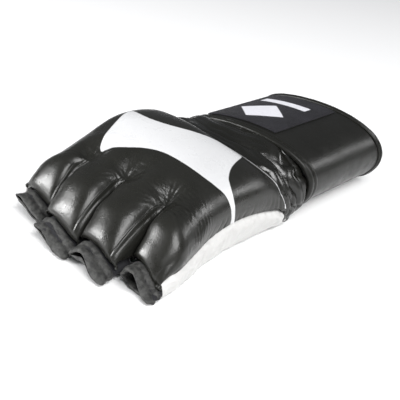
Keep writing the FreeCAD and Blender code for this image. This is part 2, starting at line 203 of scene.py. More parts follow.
def buckle(obj, held, growth, frames=14, cap=2.0):
    """Let a leather surface that is too long for its place buckle into folds, by cloth simulation.

    The held vertices stay, the rest grows by a part of itself, and no point moves more than cap
    millimetres.
    """
    start = np.array([v.co for v in obj.data.vertices])
    group = obj.vertex_groups.new(name="held")
    group.add([int(i) for i in held], 1.0, "REPLACE")
    modifier = obj.modifiers.new("cloth", "CLOTH")
    for key, value in LEATHER_CLOTH.items():
        setattr(modifier.settings, key, value)
    modifier.settings.vertex_group_mass = "held"
    modifier.settings.shrink_min = -growth
    modifier.settings.effector_weights.gravity = 0
    modifier.collision_settings.use_collision = False
    for frame_number in range(1, frames + 1):
        bpy.context.scene.frame_set(frame_number)
    graph = bpy.context.evaluated_depsgraph_get()
    moved = np.array([v.co for v in obj.evaluated_get(graph).data.vertices])
    obj.modifiers.clear()
    obj.vertex_groups.clear()
    bpy.context.scene.frame_set(1)
    shift = moved - start
    length = np.linalg.norm(shift, axis=1, keepdims=True) / MM
    shift *= cap * np.tanh(length / cap) / np.maximum(length, 1e-9)
    settled = start + shift
    settled[:, 2] = np.maximum(settled[:, 2], LOWEST_FOLD * MM)
    obj.data.vertices.foreach_set("co", settled.ravel())
    obj.data.update()
    bake(obj, SMOOTH={"factor": 0.5, "iterations": 4})


# A stitch's side view, as (part of its half length, part of its height), and its three points across.
STITCH_PROFILE = ((-1.0, 0.0), (-0.7, 1.0), (0.7, 1.0), (1.0, 0.0))
STITCH_ACROSS = 3
STITCH_SINK, STITCH_CROWN = 0.15, 0.12


def add_stitches(obj, path, outwards, pitch=3.2, length=2.0, width=0.7, height=0.35):
    """Join a row of raised stitches to a mesh, along a path of points with outward directions."""
    steps = np.linalg.norm(np.diff(path, axis=0), axis=1)
    travel = np.concatenate([[0], np.cumsum(steps)])
    places = np.arange(pitch / 2, travel[-1], pitch)
    vertices = [np.array([v.co for v in obj.data.vertices]) / MM]
    faces = [tuple(p.vertices) for p in obj.data.polygons]
    stitch = [(a, d, c, b) for a, b, c, d in grid_faces(len(STITCH_PROFILE), STITCH_ACROSS)]
    first = len(vertices[0])
    for place in places:
        looks = ((place, path), (place + 0.2, path), (place, outwards))
        middle, ahead, out = (np.array([np.interp(where, travel, table[:, k]) for k in range(3)])
                              for where, table in looks)
        run = (ahead - middle) / max(np.linalg.norm(ahead - middle), 1e-6)
        out = out / np.linalg.norm(out)
        side = np.cross(out, run)
        for along, up in STITCH_PROFILE:
            centre = middle + run * length * along / 2 + out * (height * up - STITCH_SINK)
            vertices.append(np.array([centre - side * width / 2, centre + out * STITCH_CROWN,
                                      centre + side * width / 2]))
        faces += [tuple(first + corner for corner in face) for face in stitch]
        first += len(STITCH_PROFILE) * STITCH_ACROSS
    joined = mesh_object(obj.name + "_stitched", np.concatenate(vertices), faces)
    bpy.data.objects.remove(obj)
    joined.name = joined.name.removesuffix("_stitched")
    return joined


def finish(obj, body, slot, nodes, material=None):
    """Give a piece the material of its slot, or the one named, hide the CAD nodes it stands for, and
    hang it on a body; a piece between two bodies only has its place baked in.
    """
    obj.data.materials.clear()
    obj.data.materials.append(MATERIALS[material or slot])
    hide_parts(*nodes)
    if isinstance(body, tuple):
        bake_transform(obj)
    else:
        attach(obj, body)


def finger_blend(name):
    """The body of a piece that runs from the hand over the knuckle line onto a finger."""
    return ("hand", f"{name}_finger", BLEND_START, BLEND_END)


# ---- the back of the hand
# Cross-sections from the thumb-side seam over the back to the pinky-side seam, as (place along the
# hand, x, y, z), y being one number where the section is flat.  Points 5, 7 and 9 lie between fingers.
ARCH = (
    (-124, (50, 53, 53, 50, 43, 29.4, 15, 0, -15, -29.4, -42, -50, -55, -57.5, -56.5), -124,
     (7, 11, 16, 20, 23, 25, 26, 26, 25, 24.5, 24, 22, 18, 14, 11)),
    (-112, (50.5, 53.4, 53.5, 50.5, 44, 29.4, 15, 0, -15, -29.4, -42, -50, -55, -57.5, -57), -112,
     (9, 13.5, 18, 22, 25, 27, 29.3, 29.6, 29.2, 28.2, 27.5, 25.5, 21.5, 17, 13)),
    (-100, (54.2, 54.8, 53.3, 49.5, 43, 29.4, 15, -0.2, -15, -29.6, -42, -50.5, -55.5, -57.8, -57.2),
     -100, (14, 19, 24, 28, 31, 32.6, 34, 34.4, 34, 32.8, 31.2, 28.8, 24.8, 19.5, 14.5)),
    (-88, (51.5, 52.3, 51, 46.5, 38.5, 28.6, 14, -1.3, -15, -30.6, -42, -50.5, -55.5, -57, -56.5), -88,
     (15, 21, 27, 32.5, 36.5, 38.6, 39.8, 40.2, 39.7, 38, 36, 31.5, 26, 20, 15)),
    (-66, (46.8, 47.8, 47, 42.5, 35, 25.5, 12, -2, -15, -29.5, -41, -50, -54.5, -55.5, -54.5), -66,
     (18, 24, 31, 37.5, 42, 45.4, 47.9, 49.2, 49.2, 47.8, 44.5, 40, 33, 25, 17)),
    (-42, (46, 46.5, 46, 42.5, 36, 25, 12, -2, -15, -29.5, -41, -49.5, -54, -55, -54), -42,
     (21, 27, 33, 38.5, 42.5, 47, 50.8, 53, 54, 53.8, 52, 48, 41, 30, 18)),
    (-20, (46, 47, 46.5, 43.5, 37, 25.5, 12, -2, -15, -29.5, -41, -49, -53.5, -54.5, -53.5),
     (-18, -18, -18, -18, -19, -20, -21, -21, -20, -19, -18, -18, -18, -18, -18),
     (19.5, 25, 31, 36.5, 41.5, 46, 49.5, 51.8, 52.8, 52.5, 50.8, 47, 40.5, 30, 18)),
    (0, (48, 47.2, 45.5, 42, 37, 26, 12, -2, -15, -29.5, -41, -48.5, -52.5, -54, -53),
     (9, 8, 5, 2, -3, -9, -11, -11, -9, -5, -2, 0, 2, 4, 6),
     (15.5, 19, 24, 30.5, 36, 42.2, 45.2, 46.3, 46.3, 45.3, 43, 38.5, 33, 26, 17)),
)
SPLIT = {"index": (0, 5), "middle": (5, 7), "ring": (7, 9), "pinky": (9, 14)}
ARCH_LAST = 14
ARCH_GIRTH = (0, 6, 12, 18.6, 26.2, 38.1, 51.6, 65.8, 78.9, 93.4, 105, 114.4, 122.7, 133.8, 145.8)
KNUCKLE_SPLIT = KNUCKLE_Y - 4
SLIT_ENDS = ((28.4, -85.6), (-1.3, -83.6), (-31.0, -81.0))


def arch(across, place):
    """Points of the back's surface; across runs 0 to 14 from the thumb seam to the pinky seam."""
    across, place = np.broadcast_arrays(np.asarray(across, float), np.asarray(place, float))
    rings = track([(section[0], xyz(*section[1:])) for section in ARCH], place)
    slopes = np.gradient(rings, axis=-2)
    index = np.clip(across.astype(int), 0, ARCH_LAST - 1)
    part = (across - index)[..., None]

    def pick(table, which):
        """One ring point of a table for each place."""
        return np.take_along_axis(table, which[..., None, None], axis=-2)[..., 0, :]

    return hermite(part, 1.0, pick(rings, index), pick(rings, index + 1), pick(slopes, index),
                   pick(slopes, index + 1))


def outward(points):
    """The direction that points out of the hand, the same for every piece that meets there."""
    core = np.clip(points[..., 0], -36, 27)
    return unit(xyz(points[..., 0] - core, 0, points[..., 2] - 6))


# Height of the leather's relief in millimetres, round each slit end and over the knuckles.
BOWL_DEPTH, HUMP_HEIGHT, FAN_HEIGHT, HAIR_HEIGHT = 5.6, 1.0, 0.55, 0.2
FOLD_HEIGHT, GATHER_DEPTH = 0.8, 0.75


def creases(points):
    """Leather relief in millimetres: puckers at the slit ends, knuckle valleys and seam gathers."""
    x, y, z = points[..., 0], points[..., 1], points[..., 2]
    relief = 0.30 * grain(points, 24, 1)
    relief -= 0.06 * np.abs(grain(points, 4.5, 8)) * np.clip(0.4 + grain(points, 20, 9), 0, 1)
    warp = 1.5 * grain(points, 8, 2)
    for end_x, end_y in SLIT_ENDS:
        dx, dy = x - end_x, y - end_y
        away = np.hypot(dx, dy)
        turn = np.arctan2(dx, dy)
        fan = np.sin(turn * 8 + 1.8 * warp + end_x) * (0.6 + 0.4 * grain(points, 5, 6))
        hair = np.sin(turn * 27 + 2 * warp) * (0.5 + 0.5 * grain(points, 4, 7))
        relief += FAN_HEIGHT * fan * np.exp(-(away / 10) ** 2) * (1 - np.exp(-(away / 2.5) ** 2))
        relief += HAIR_HEIGHT * hair * np.exp(-((away - 10) / 6) ** 2)
        bowl = np.exp(-(dx / 8) ** 2) * ease(-10, 2, dy) * (1 - ease(1, 16, dy))
        relief -= BOWL_DEPTH * bowl
        hump = np.exp(-((np.abs(dx) - 11) / 6) ** 2) * np.exp(-((dy - 4) / 9) ** 2)
        relief += HUMP_HEIGHT * hump
    fold = np.sin((y + 0.3 * (x - 28)) * 2.3 + 4.0 * grain(points, 10, 3))
    zone = ease(-97, -88, y) * (1 - ease(-76, -66, y)) * ease(27, 33, x) * ease(18, 28, z)
    relief += FOLD_HEIGHT * zone * fold * np.clip(0.2 + 1.2 * grain(points, 6, 4), 0, 1)
    gather = np.abs(np.sin(y * 0.5 + 1.6 * grain(points, 9, 5))) ** 12
    gather = gather * np.clip(0.5 + grain(points, 12, 10), 0, 1)
    wall = ease(SEAM_Z - 1, SEAM_Z + 3, z) * (1 - ease(SEAM_Z + 4, SEAM_Z + 13, z))
    relief -= GATHER_DEPTH * gather * wall * ease(-80, -60, y)
    return relief


# Outline of the white panel as (girth from the thumb seam, place along the hand).
PANEL = (
    (93, -76), (83, -74.5), (72, -66.5), (61, -61.5), (49.5, -60), (35, -58.5), (25.5, -55.8),
    (18.6, -52.8), (12, -51.5), (6, -49.2), (0, -47), (-5, -46), (-5, -43), (0, -44), (6, -46),
    (12, -47.8), (18.6, -47.2), (26, -43.5), (32, -36), (35.5, -26), (38, -17), (41, -12.6),
    (51.6, -15.5), (63.6, -26), (76, -36), (89, -39.5), (101.5, -37), (110.5, -33), (107, -44),
    (103, -55), (98.5, -67),
)
PIPE_IN, PIPE_WIDTH = 1.7, 1.1


def panel_distance(girth, place):
    """Signed distance in millimetres to the white panel's outline, positive inside."""
    corners = np.array(PANEL, float)
    for _ in range(3):
        ahead = np.roll(corners, -1, axis=0)
        corners = np.stack([0.75 * corners + 0.25 * ahead, 0.25 * corners + 0.75 * ahead], axis=1)
        corners = corners.reshape(-1, 2)
    after = np.roll(corners, -1, axis=0)
    inside = np.zeros(girth.shape, bool)
    nearest = np.full(girth.shape, np.inf)
    for (ax, ay), (bx, by) in zip(corners, after):
        dx, dy = bx - ax, by - ay
        part = np.clip(((girth - ax) * dx + (place - ay) * dy) / (dx * dx + dy * dy), 0, 1)
        nearest = np.minimum(nearest, np.hypot(girth - ax - part * dx, place - ay - part * dy))
        crosses = (ay > place) != (by > place)
        with np.errstate(divide="ignore", invalid="ignore"):
            inside ^= crosses & (girth < ax + (place - ay) * dx / (dy if dy else 1e-9))
    return np.where(inside, nearest, -nearest)


def print_field(across, points, rear):
    """Positive where the leather is printed white: the panel, and a line along the rear edge."""
    girth = np.interp(across, np.arange(ARCH_LAST + 1), ARCH_GIRTH)
    panel = panel_distance(girth, points[..., 1])
    line = PIPE_WIDTH / 2 - np.abs(rear - points[..., 1] - PIPE_IN)
    return np.maximum(panel, line)


def crumple_field(points):
    """How strongly the leather is crumpled: most beside the slit ends, on their thumb side."""
    x, y = points[..., 0], points[..., 1]
    strength = 0.0
    for end_x, end_y in SLIT_ENDS:
        dx, dy = x - end_x, y - end_y - 3
        strength = strength + np.exp(-(np.where(dx > 0, dx / 17, dx / 7)) ** 2 - (dy / 13) ** 2)
    return np.clip(strength, 0, 1)


def leather_piece(name, points, across, body, nodes, sharp_columns=(), thickness=1.2):
    """A piece of the back's leather, turned outwards, printed and thickened."""
    rear = arch(across, 0)[..., 1]
    piece = grid_object(name, points, flip=True)
    add_field(piece, "print", print_field(across, points, rear))
    add_field(piece, "crumple", crumple_field(points))
    mark_sharp(piece, points.shape, sharp_columns)
    thicken(piece, thickness)
    finish(piece, body, "black_leather", nodes, "printed_leather")


def mark_sharp(obj, shape, columns):
    """Keep the rim and the given lines of a grid from bending the shading beside them."""
    rows, depth = shape[:2]
    lines = set(columns) | {0, rows - 1}
    for edge in obj.data.edges:
        (row, column), (next_row, next_column) = (divmod(v, depth) for v in edge.vertices)
        along = row == next_row and row in lines
        end = column == next_column and column in (0, depth - 1)
        edge.use_edge_sharp = along or end


# The rolled rear edge, as (part of the section's size, distance behind the edge).
REAR_ROLL = ((0.99, 0.9), (0.97, 1.8), (0.94, 2.5), (0.90, 2.8), (0.84, 2.8))


def back_cover():
    """The leather over the knuckle pad, from the knuckle line to the rolled rear edge."""
    count = np.linspace(0, ARCH_LAST, 197)
    places = np.concatenate([np.linspace(KNUCKLE_SPLIT, -8, 86), np.linspace(-7.4, 0, 12)])
    across, along = np.meshgrid(count, places, indexing="ij")
    points = arch(across, along)
    points += outward(points) * creases(points)[..., None]
    rolls = []
    for inward, back in REAR_ROLL:
        edge = points[:, -1].copy()
        edge[:, 0] *= inward
        edge[:, 1] += back
        edge[:, 2] = 10 + (edge[:, 2] - 10) * inward
        rolls.append(edge)
    points = np.concatenate([points, np.stack(rolls, axis=1)], axis=1)
    across = np.concatenate([across, np.repeat(across[:, -1:], len(rolls), axis=1)], axis=1)
    leather_piece("back_cover", points, across, "hand", ("knuckle_cover", "knuckle_foam"),
                  thickness=1.3)


# How far a pad's surface falls towards a slit, as (distance from the slit, fall).  The near side has a
# strip of its own, sewn on with a raised seam.
NEAR_FALL = (
    (0, 10), (0.4, 7.2), (1.2, 5.6), (2.5, 4.2), (2.9, 2.9), (3.3, 2.4), (3.7, 3.1), (4.1, 3.6),
    (4.6, 3.0), (5.6, 2.0), (7.5, 1.0), (11, 0.25), (15, 0), (40, 0),
)
FAR_FALL = ((0, 10), (0.4, 6.9), (1.0, 4.2), (2.0, 2.5), (4, 1.15), (8, 0.25), (12, 0), (40, 0))
# A pad's rounded toe: its length, its rows, how far it overhangs the binding, and how its height grows.
NOSE = 18.0
TOE_ROWS = 28
TOE_OVERHANG = 2.4
TOE_RISE = (
    (0, 0.08), (0.03, 0.24), (0.1, 0.43), (0.22, 0.62), (0.4, 0.79), (0.6, 0.905), (0.8, 0.97),
    (1, 1),
)
ROW_STEP = 0.8
CROWN = 2.4
WALL_FOOT = 12.5
LOOP_SKEW = 4.0


SLIT_STRIP = 11 / 28


def column_places(name):
    """Where a pad's columns lie across the finger, closer together in the strip by a slit."""
    first, last = SPLIT[name]
    parts = [np.linspace(SLIT_STRIP, 2 - SLIT_STRIP, 34)]
    if name == "index":
        parts = [np.linspace(0, 5 - SLIT_STRIP / 1.2, 66)]
    elif name == "pinky":
        parts = [np.linspace(SLIT_STRIP / 1.2, 5, 66)]
    if name != "index":
        start = parts[0][0]
        parts.insert(0, start * np.linspace(0, 1, 19)[:-1])
    if name != "pinky":
        start, end = parts[-1][-1], last - first
        parts.append(start + (end - start) * np.linspace(0, 1, 17)[1:])
    return first + np.concatenate(parts)


def pad_rows(toe):
    """Where a pad's rows lie along the finger, and how much of the pad's height each row has."""
    turn = np.linspace(0.0, math.pi / 2, TOE_ROWS)
    nose = toe - 1.3 + NOSE * (1 - np.cos(turn)) + TOE_OVERHANG * (1 - ease(0, 0.36, turn))
    rows = np.concatenate([nose, np.arange(nose[-1], KNUCKLE_SPLIT, ROW_STEP)[1:], [KNUCKLE_SPLIT]])
    height = np.ones(len(rows))
    height[:TOE_ROWS] = track(TOE_RISE, 1 - np.cos(turn))
    return rows, height


def slit_open(number, along):
    """1 beside an open slit between two fingers, 0 behind its end."""
    end = SLIT_ENDS[number][1]
    return 1 - ease(end - 9, end + 1, along)


def slit_shape(order, x, near_line, far_line, along):
    """How far a pad falls towards the slits beside it, and how far it is drawn in from them."""
    fall = np.zeros_like(x)
    inset = np.zeros_like(x)
    if order > 0:
        cut = slit_open(order - 1, along)
        fall += track(NEAR_FALL, (near_line - x) / (0.45 + 0.55 * cut)) * cut
        inset -= 0.35 * cut * (1 - ease(0, 3, near_line - x))
    if order < 3:
        cut = slit_open(order, along)
        fall += track(FAR_FALL, x - far_line) * cut
        inset += 0.35 * cut * (1 - ease(0, 3, x - far_line))
    return fall, inset


def slit_wall(line):
    """The side of a pad inside a slit, in four steps down from the pad's edge line."""
    foot = np.minimum(line[:, 2], WALL_FOOT)
    return np.stack([line * (1, 1, 1 - s) + xyz(0, 0, s * foot) for s in (0.25, 0.5, 0.75, 1.0)])


def add_walls(points, across, near, far):
    """Give a pad its sides in the slits, and list the grid lines where they begin."""
    sharp = []
    if near:
        wall = slit_wall(points[0])
        points = np.concatenate([wall[::-1], points])
        across = np.concatenate([np.repeat(across[:1], len(wall), axis=0), across])
        sharp.append(len(wall))
    if far:
        wall = slit_wall(points[-1])
        sharp.append(len(points) - 1)
        points = np.concatenate([points, wall])
        across = np.concatenate([across, np.repeat(across[-1:], len(wall), axis=0)])
    return points, across, sharp


def finger_pad(name):
    """The leather over the back of one finger, from its toe to the knuckle line, standing for its cover
    and foam.
    """
    order = FINGERS.index(name)
    toe = BINDING_BACK[name] - 0.8
    rows, height = pad_rows(toe)
    across, along = np.meshgrid(column_places(name), rows, indexing="ij")
    points = arch(across, along)
    near_line, far_line = (arch(line, along)[..., 0] for line in SPLIT[name])
    part = np.clip((points[..., 0] - far_line) / (near_line - far_line), 0, 1)
    fall, inset = slit_shape(order, points[..., 0], near_line, far_line, along)
    crown = CROWN * np.sin(math.pi * part) * (1 - ease(-104, -76, along))
    points += outward(points) * (creases(points) + crown)[..., None]
    points[..., 2] -= fall
    points[..., 0] += inset
    base = track(LOOP_REAR[name], part) - 1.6
    points[..., 2] = base + np.maximum(points[..., 2] - base, 1.5) * height
    corner = np.abs(2 * part - 1) ** 5
    points[..., 1] += (LOOP_SKEW * (1 - part) + 1.5 * corner) * (1 - ease(toe + 3, toe + 16, along))
    middle = (near_line + far_line) / 2
    tuck = 0.10 * (1 - height) * (part > 0.5) if name == "index" else 0
    points[..., 0] = middle + (points[..., 0] - middle) * (0.95 + 0.05 * height - tuck)
    points, across, sharp = add_walls(points, across, order > 0, order < 3)
    leather_piece(f"{name}_pad", points, across, finger_blend(name), (f"{name}_cover", f"{name}_foam"),
                  sharp)


# ---- finger loops
# Height of each loop's upper lip from its far side (0) to its near side (1): at its front edge and at
# the binding's rear edge.
LOOP_FRONT = {
    "index": ((0, 9.5), (0.16, 12.9), (0.3, 13.3), (0.48, 11.4), (0.62, 8.2), (0.78, 4.6), (1, 3.2)),
    "middle": ((0, 8.8), (0.2, 12.0), (0.42, 12.9), (0.56, 10.0), (0.76, 6.2), (1, 5.0)),
    "ring": ((0, 10.8), (0.25, 9.8), (0.44, 7.5), (0.61, 5.0), (0.83, 4.0), (1, 4.0)),
    "pinky": ((0, 13.8), (0.33, 12.6), (0.52, 10.3), (0.7, 9.0), (1, 8.6)),
}
LOOP_REAR = {
    "index": ((0, 13.2), (0.2, 14.2), (0.45, 13.0), (0.62, 10.6), (0.8, 8.2), (1, 6.4)),
    "middle": ((0, 13.2), (0.25, 15.0), (0.5, 14.6), (0.75, 12.0), (1, 10.0)),
    "ring": ((0, 14.2), (0.25, 14.4), (0.5, 12.4), (0.75, 10.0), (1, 8.6)),
    "pinky": ((0, 15.0), (0.3, 15.0), (0.6, 12.6), (1, 10.4)),
}
LOOP_FLOOR = {
    "index": ((0, 0.6), (0.3, 0.1), (1, 0.1)),
    "middle": ((0, 3.8), (0.2, 6.4), (0.42, 7.4), (0.56, 4.6), (0.76, 1.2), (1, 0.3)),
    "ring": ((0, 5.8), (0.25, 4.8), (0.44, 2.6), (0.61, 0.6), (1, 0.1)),
    "pinky": ((0, 8.4), (0.33, 7.4), (0.52, 5.2), (0.7, 4.0), (1, 3.6)),
}
LOOP_TRIM = {"index": (0, 3.0), "pinky": (1.2, 0)}
LIP_SETBACK = {"index": 2.6, "middle": 1.0, "ring": 1.0, "pinky": 1.0}


def loop_section(name, place, grow=0.0, count=84):
    """The outline of a finger loop at a distance behind its front edge, thumb side first."""
    low, high = SLAB[name]
    far_trim, near_trim = LOOP_TRIM.get(name, (0, 0))
    narrow = np.clip((place - 9) / 15, 0, 1)
    low, high = low + far_trim * (1 + narrow), high - near_trim * (1 + narrow)
    middle, half = (low + high) / 2, (high - low) / 2
    angle = np.linspace(0, 2 * math.pi, count, endpoint=False)
    cosine, sine = np.cos(angle), np.sin(angle)
    spread = np.sign(cosine) * np.abs(cosine) ** (2 / 2.5)
    part = 0.5 + 0.5 * spread
    mix = np.clip(place / 9.4, 0, 1)
    top = track(LOOP_FRONT[name], part) * (1 - mix) + track(LOOP_REAR[name], part) * mix
    bottom = track(LOOP_FLOOR[name], part) * (1 - mix) ** 1.5 + 0.1
    centre, rise = (top + bottom) / 2, np.maximum((top - bottom) / 2 + grow, 0.15)
    power = np.where(sine > 0, 2 / 2.2, 2 / 3.0)
    x = middle + (half + grow - 0.3) * spread
    z = centre + rise * np.sign(sine) * np.abs(sine) ** power
    skew = LOOP_SKEW * (1 - part) * (1 if place < 12 else 0.6)
    lower = 0.5 - 0.5 * np.clip(sine * 3, -1, 1)
    y = REACH[name] + place + skew + LIP_SETBACK[name] * lower * (1 - mix)
    return xyz(x, y, z)


def finger_loop(name):
    """The tube of one finger loop."""
    places = np.linspace(1.5, 24, 14)
    points = np.stack([loop_section(name, p, grow=-1.6) for p in places], axis=1)
    loop = grid_object(f"{name}_loop", points, closed=True)
    thicken(loop, 0.9)
    bake(loop, SUBSURF=SMOOTHED)
    slot = "white_leather" if name == "index" else "black_leather"
    finish(loop, finger_blend(name), slot, (f"{name}_sleeve",), "lining")


BINDING_PROFILE = (
    (9.6, -1.4), (9.5, -0.5), (8.9, 0.1), (7.6, 0.35), (6.4, 0.1), (5.6, -0.35), (4.9, -0.35),
    (4.2, 0.1), (2.9, 0.45), (1.4, 0.4), (0.3, -0.1), (-0.1, -0.9), (0.3, -1.7), (1.6, -2.1),
    (5.0, -2.2), (8.6, -2.2), (9.4, -1.9),
)


def finger_edge(name):
    """The folded, stitched tape round the open end of one finger loop."""
    rings = [loop_section(name, place, grow=proud - 0.2) for place, proud in BINDING_PROFILE]
    points = np.stack(rings + [rings[0]], axis=1)
    order = FINGERS.index(name)
    rough = 0.6 * grain(points, 2.8, order + 11) + 0.5 * grain(points, 13, order + 15)
    points = points + normals_of(points) * rough[..., None]
    points[:, -1] = points[:, 0]
    points[..., 2] = np.maximum(points[..., 2], 0.05)
    edge = grid_object(f"{name}_edge", points, closed=True)
    bake(edge, WELD=JOINED, SUBSURF=SMOOTHED)
    row = points[:, 5]
    path = np.concatenate([row, row[:1]])
    edge = add_stitches(edge, path, path - row.mean(axis=0))
    finish(edge, f"{name}_finger", "edge_binding", (f"{name}_binding",), "binding")


# ---- palm side
# Each side wall's finger, CAD node, gap behind the finger's binding, seam on the back, and foot as
# (place along the hand, x).
SIDE_WALLS = {
    1: ("index", "thumb_gusset", 1.2, 0,
        ((-113, 55), (-98, 52.8), (-66, 46.5), (-34, 43.5), (-8, 42.5), (20, 43))),
    -1: ("pinky", "pinky_gusset", 4.4, ARCH_LAST, ((-105, -55.5), (-66, -52), (0, -49), (20, -46))),
}
WALL_ROWS, WALL_COLUMNS = 26, 110


def side_points(side):
    """A side wall's points, from the back's seam down to its foot under the hand."""
    finger, _, gap, across, foot = SIDE_WALLS[side]
    y = np.linspace(BINDING_BACK[finger] + gap, 17, WALL_COLUMNS)
    seam = arch(across, np.minimum(y, 0))
    past = np.maximum(y, 0)
    seam_x = seam[:, 0] - side * 0.12 * past
    seam_z = seam[:, 2] - 0.35 * past
    down = np.linspace(0, 1, WALL_ROWS)[:, None]
    bulge = np.sin(np.pi * np.clip(down * 1.05, 0, 1)) ** 0.8
    tuck = 3.0 * (1 - down) ** 8
    x = seam_x + (track(foot, y) - seam_x) * down ** 1.5 + side * (2.0 * bulge - tuck)
    x = x - side * 5 * np.clip((down - 0.88) / 0.12, 0, 1)
    z = np.maximum((seam_z + 0.8) * (1 - down) + 0.9 * down, 0.7)
    points = xyz(x, y, z)
    relief = 1.5 * grain(points, 16, 21) * bulge + 0.4 * grain(points * (1, 1, 0.4), 5, 22) * bulge
    gather = 0.7 * np.abs(np.sin(y * 0.45 + 1.4 * grain(points, 12, 23))) ** 5
    relief -= gather * np.exp(-((down - 0.06) / 0.12) ** 2)
    points[..., 0] += side * relief
    return points


def side_panel(name, side):
    """The soft white wall between the palm and the back, from the outer finger to the wrist."""
    finger, node, _, _, _ = SIDE_WALLS[side]
    panel = grid_object(name, side_points(side), flip=side < 0)
    index = np.arange(WALL_ROWS * WALL_COLUMNS).reshape(WALL_ROWS, WALL_COLUMNS)
    rim = [part.ravel() for part in (index[:2], index[-4:], index[:, :2], index[:, -2:])]
    buckle(panel, np.unique(np.concatenate(rim)), FOLD_GROWTH)
    thicken(panel, 1.2)
    finish(panel, finger_blend(finger), "white_leather", (node,))


# The folded tape round the thumb opening, as (distance out from the opening, height).
THUMB_TAPE = (
    (1.0, 0.5), (0.3, 0.1), (-1.5, 0.1), (-3.0, 0.4), (-3.4, 1.6), (-3.0, 2.7), (-1.2, 3.0),
    (0.4, 2.8), (1.0, 2.0),
)
HOLE_ANGLE = np.linspace(0, 2 * math.pi, 96, endpoint=False)
FAR = 1e9


def thumb_ring(out, height):
    """A ring round the thumb opening, grown outwards by out."""
    centre, half = (HOLE_LOW + HOLE_HIGH) / 2, (HOLE_HIGH - HOLE_LOW) / 2
    return xyz(centre[0] + (half[0] + out) * np.cos(HOLE_ANGLE),
               centre[1] + (half[1] + out) * np.sin(HOLE_ANGLE), height)


def palm():
    """The flat palm, from its thumb opening to its rim."""
    centre = ((HOLE_LOW + HOLE_HIGH) / 2)[:2]
    heading = np.stack([np.cos(HOLE_ANGLE), np.sin(HOLE_ANGLE)], axis=-1)
    low, high = PALM_LOW[:2] + (-2, 0), PALM_HIGH[:2] + (0.5, 26)
    limit = np.where(heading > 0, high - centre, low - centre)
    with np.errstate(divide="ignore"):
        reach = np.where(np.abs(heading) < 1e-6, FAR, limit / heading).min(axis=1, keepdims=True)
    rim = centre + reach * heading
    hole = thumb_ring(0, 0)[:, :2]
    plan = hole[:, None] + (rim[:, None] - hole[:, None]) * np.linspace(0, 1, 30)[None, :, None]
    points = np.concatenate([plan, np.ones(plan.shape[:2] + (1,))], axis=-1)
    points[..., 2] += 0.5 + 0.4 * grain(points, 18, 31)
    panel = grid_object("palm", points, closed=True, flip=True)
    thicken(panel, 1.0, offset=1)
    finish(panel, "hand", "white_leather", ("palm_panel",))


def thumb_edge():
    """The folded tape round the thumb opening."""
    tape = [thumb_ring(out, height) for out, height in THUMB_TAPE]
    edge = grid_object("thumb_edge", np.stack(tape + [tape[0]], axis=1), closed=True)
    bake(edge, WELD=JOINED, SUBSURF=SMOOTHED)
    finish(edge, "hand", "edge_binding", ("thumb_binding",), "binding")


def back_lining():
    """The lining under the knuckle foam, seen through the wrist and thumb openings."""
    low, high = node_box("dorsal_lining")
    across = np.linspace(0, math.pi, 40)[:, None]
    y = np.linspace(low[1] + 4, 12, 40)
    middle, half = (low[0] + high[0]) / 2, (high[0] - low[0]) / 2
    z = low[2] - 8 + (high[2] - low[2] + 7) * np.abs(np.sin(across)) ** 0.6
    lining = grid_object("back_lining", xyz(middle + half * np.cos(across), y, z))
    thicken(lining, 0.8)
    finish(lining, "hand", "lining", ("dorsal_lining",))


# ---- wrist
STRAP_SECTION = (
    (6, 0.7), (28, 1.2), (38, 5), (45, 12), (49.5, 20.5), (50.2, 29.5), (45.5, 37.5), (36, 42.8),
    (22, 46.2), (4, 47.2), (-16, 45.2), (-34, 40.6), (-44.5, 33.5), (-49.6, 23), (-48.5, 11),
    (-43, 3.5), (-34, 0.9), (-14, 0.7),
)
STRAP_LEAN = math.tan(math.radians(18))
STRAP_FRONT = EDGE_FRONT + STRAP_LEAN * STRAP_HIGH[2]


def strap_outline(grow=0.0, count=200):
    """The closed outline of the strapped wrist as (x, z), grown outwards by grow."""
    section = np.array(STRAP_SECTION, float)
    closed = np.concatenate([section[-2:], section, section[:3]])
    counts = np.arange(len(closed)) - 2
    place = np.linspace(0, len(section), count, endpoint=False)
    outline = track(list(zip(counts, closed)), place)
    along = np.gradient(np.concatenate([outline[-1:], outline, outline[:1]]), axis=0)[1:-1]
    out = unit(np.stack([along[:, 1], -along[:, 0]], axis=-1))
    return outline + out * grow, place


def lean(y, z):
    """The strap's ends slope: the top lies further towards the fingers than the bottom."""
    return y - STRAP_LEAN * z


def across_strap(outline, front, back, columns):
    """A sheet that follows an (x, z) outline and runs from front to back with the strap's lean."""
    x, z = outline[:, :1], outline[:, 1:]
    return xyz(x, lean(np.linspace(front, back, columns), z), z)


def tube_points(grow, front, back, columns, wave, seed):
    """A closed sheet all round the wrist, uneven by wave millimetres."""
    points = across_strap(strap_outline(grow)[0], front, back, columns)
    return points + normals_of(points) * (wave * grain(points, 26, seed))[..., None]


def strap():
    """The strap's ring round the wrist and the cuff's lining inside it."""
    ring = grid_object("strap_ring", tube_points(-3.0, STRAP_FRONT + 2, EDGE_BACK - 2, 40, 0.3, 41),
                       closed=True, flip=True)
    thicken(ring, 1.6)
    finish(ring, "hand", "strap_leather", ("wrist_strap",))
    lining = grid_object("cuff_lining", tube_points(-5.0, STRAP_FRONT - 4, EDGE_BACK - 6, 30, 0.5, 42),
                         closed=True, flip=True)
    thicken(lining, 1.0)
    finish(lining, "hand", "lining", ("cuff_sleeve",))


TAB_BLEND = ("hand", "closure_tab", ((TAB_HIGH[0] + 14) * MM, 0, 0), ((TAB_HIGH[0] - 3) * MM, 0, 0))
# The folded tape along the strap's edges, as (distance in from the edge, how far it stands proud).
EDGE_PROFILE = (
    (0.0, -1.9), (-0.2, -0.6), (0.1, 0.5), (0.9, 1.15), (2.4, 1.3), (3.6, 0.95), (4.4, 0.35),
    (5.0, 0.3), (5.8, 0.8), (7.0, 1.0), (8.2, 0.7), (8.8, -0.1), (8.6, -1.4), (5, -2.1), (2, -2.3),
)


